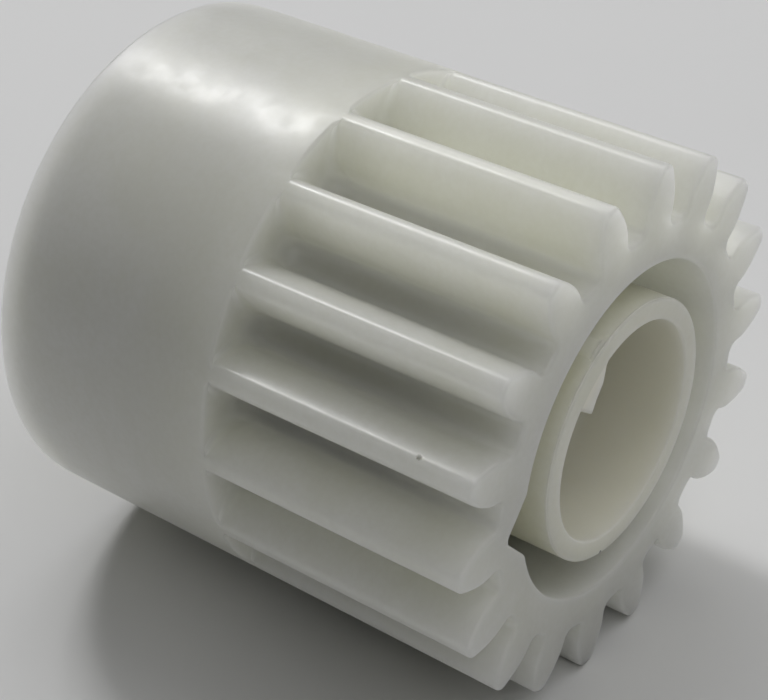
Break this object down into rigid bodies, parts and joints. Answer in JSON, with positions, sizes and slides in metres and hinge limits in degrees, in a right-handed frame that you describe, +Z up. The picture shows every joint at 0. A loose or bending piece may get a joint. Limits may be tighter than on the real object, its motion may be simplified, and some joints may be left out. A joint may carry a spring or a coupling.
{
  "type": "spur gear",
  "caption": "Milky-white moulded spur gear with a long plain collar and a keyed hub sleeve in a ring recess, built as a slip-clutch gear.",
  "frame": {"origin": "on the axis, at the middle of the overall length", "axes": "+Y runs along the axis from the toothed face to the capped back of the collar; +Z is up as the gear lies on its side; +X completes the right-handed set"},
  "size_m": [0.03, 0.0308, 0.03],
  "materials": {
    "gear_plastic": "undyed milky acetal, satin moulded surface",
    "hub_plastic": "undyed milky acetal, satin moulded surface",
    "cap_plastic": "undyed milky acetal, satin moulded surface",
    "spring_steel": "drawn spring wire, lightly oiled",
    "retainer_steel": "stamped spring steel",
    "bush_bronze": "sintered bronze, oil-filled",
    "washer_film": "thin polyester film"
  },
  "bodies": {
    "hub": {"hub_sleeve": "hub_plastic"},
    "gear": {"gear_body": "gear_plastic", "wrap_spring": "spring_steel", "spring_retainer": "retainer_steel", "bearing_bush": "bush_bronze", "front_thrust_washer": "washer_film", "rear_thrust_washer": "washer_film", "rear_cap": "cap_plastic"}
  },
  "joints": [
    {"name": "clutch_slip", "type": "hinge", "parent": "hub", "child": "gear", "pos_m": [0, 0, 0], "axis": [0, 1, 0], "continuous": true}
  ]
}
